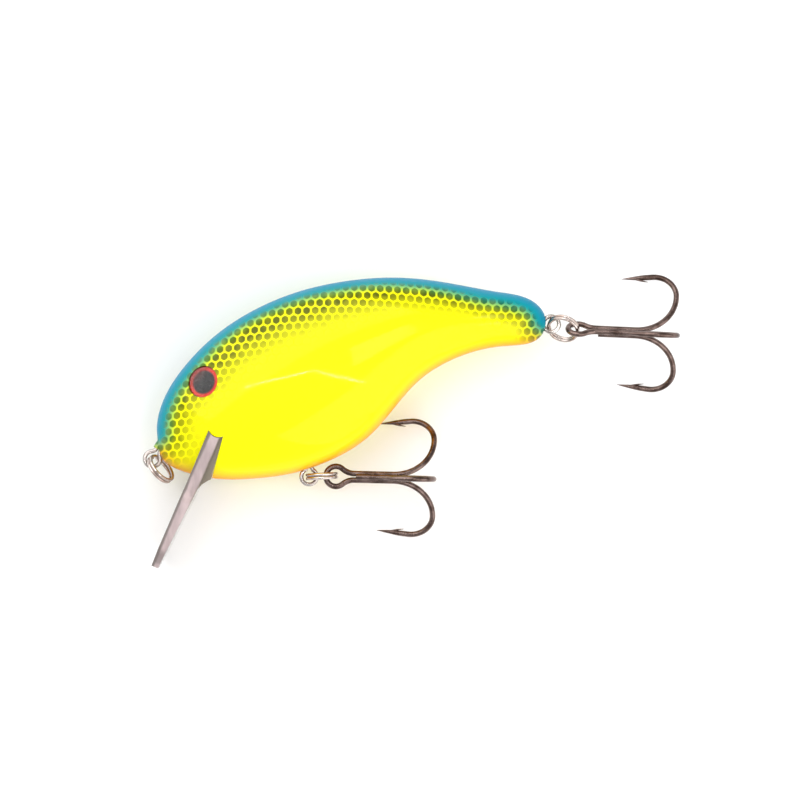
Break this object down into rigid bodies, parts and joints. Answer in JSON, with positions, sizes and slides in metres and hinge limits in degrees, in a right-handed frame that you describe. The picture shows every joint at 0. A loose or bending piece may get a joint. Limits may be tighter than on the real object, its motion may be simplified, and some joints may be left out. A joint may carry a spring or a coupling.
{
  "type": "crankbait lure",
  "caption": "Short deep-bodied diving fishing lure with a clear square lip, a hollow painted body that rattles, and treble hooks on split rings.",
  "frame": {"origin": "centre of the line-tie eye on the nose, on the body's mid-plane", "axes": "+X from nose to tail, +Y from belly to back, +Z out of the left flank; the lure lies on its right flank"},
  "size_m": [0.0895, 0.0491, 0.0204],
  "materials": {
    "painted_shell": "painted and clear-coated, gloss",
    "clear_lip": "clear polycarbonate",
    "eye_print": "printed",
    "eye_resin": "clear, gloss",
    "eye_wire": "bright drawn wire",
    "ring_nickel": "bright nickel",
    "hook_black_nickel": "black nickel, polished",
    "ballast_metal": "matte cast",
    "ball_steel": "polished"
  },
  "bodies": {
    "lure_body": {"left_shell": "painted_shell", "right_shell": "painted_shell", "diving_lip": "clear_lip", "left_eye_disc": "eye_print", "left_eye_dome": "eye_resin", "right_eye_disc": "eye_print", "right_eye_dome": "eye_resin", "belly_ballast": "ballast_metal", "nose_ballast": "ballast_metal", "line_tie_wire": "eye_wire", "belly_hanger_wire": "eye_wire", "tail_hanger_wire": "eye_wire"},
    "nose_ring": {"nose_split_ring": "ring_nickel"},
    "belly_ring": {"belly_split_ring": "ring_nickel"},
    "belly_treble": {"belly_double_hook": "hook_black_nickel", "belly_single_hook": "hook_black_nickel"},
    "tail_ring": {"tail_split_ring": "ring_nickel"},
    "tail_treble": {"tail_double_hook": "hook_black_nickel", "tail_single_hook": "hook_black_nickel"},
    "front_ball": {"front_rattle_ball": "ball_steel"},
    "middle_ball": {"middle_rattle_ball": "ball_steel"},
    "rear_ball": {"rear_rattle_ball": "ball_steel"}
  },
  "joints": [
    {"name": "nose_ring_swing", "type": "hinge", "parent": "lure_body", "child": "nose_ring", "pos_m": [0, 0, 0], "axis": [0, 0, 1], "range_deg": [-190, 5]},
    {"name": "belly_ring_swing", "type": "hinge", "parent": "lure_body", "child": "belly_ring", "pos_m": [0.02611, -0.00296, 0], "axis": [0, 0, 1], "range_deg": [-115, 4]},
    {"name": "belly_treble_swing", "type": "hinge", "parent": "belly_ring", "child": "belly_treble", "pos_m": [0.02823, -0.00285, 0], "axis": [-0.0523, 0.9986, 0], "range_deg": [-90, 90]},
    {"name": "tail_ring_swing", "type": "hinge", "parent": "lure_body", "child": "tail_ring", "pos_m": [0.06645, 0.02248, 0], "axis": [0, 0, 1], "range_deg": [-25, 55]},
    {"name": "tail_treble_swing", "type": "hinge", "parent": "tail_ring", "child": "tail_treble", "pos_m": [0.06845, 0.02176, 0], "axis": [0.2418, 0.6645, -0.7071], "range_deg": [-90, 90]},
    {"name": "front_ball_slide", "type": "slide", "parent": "lure_body", "child": "front_ball", "axis": [0, 0, 1], "range_m": [0, 0.0082]},
    {"name": "middle_ball_slide", "type": "slide", "parent": "lure_body", "child": "middle_ball", "axis": [0, 0, 1], "range_m": [0, 0.0069]},
    {"name": "rear_ball_slide", "type": "slide", "parent": "lure_body", "child": "rear_ball", "axis": [0, 0, 1], "range_m": [0, 0.00524]}
  ]
}
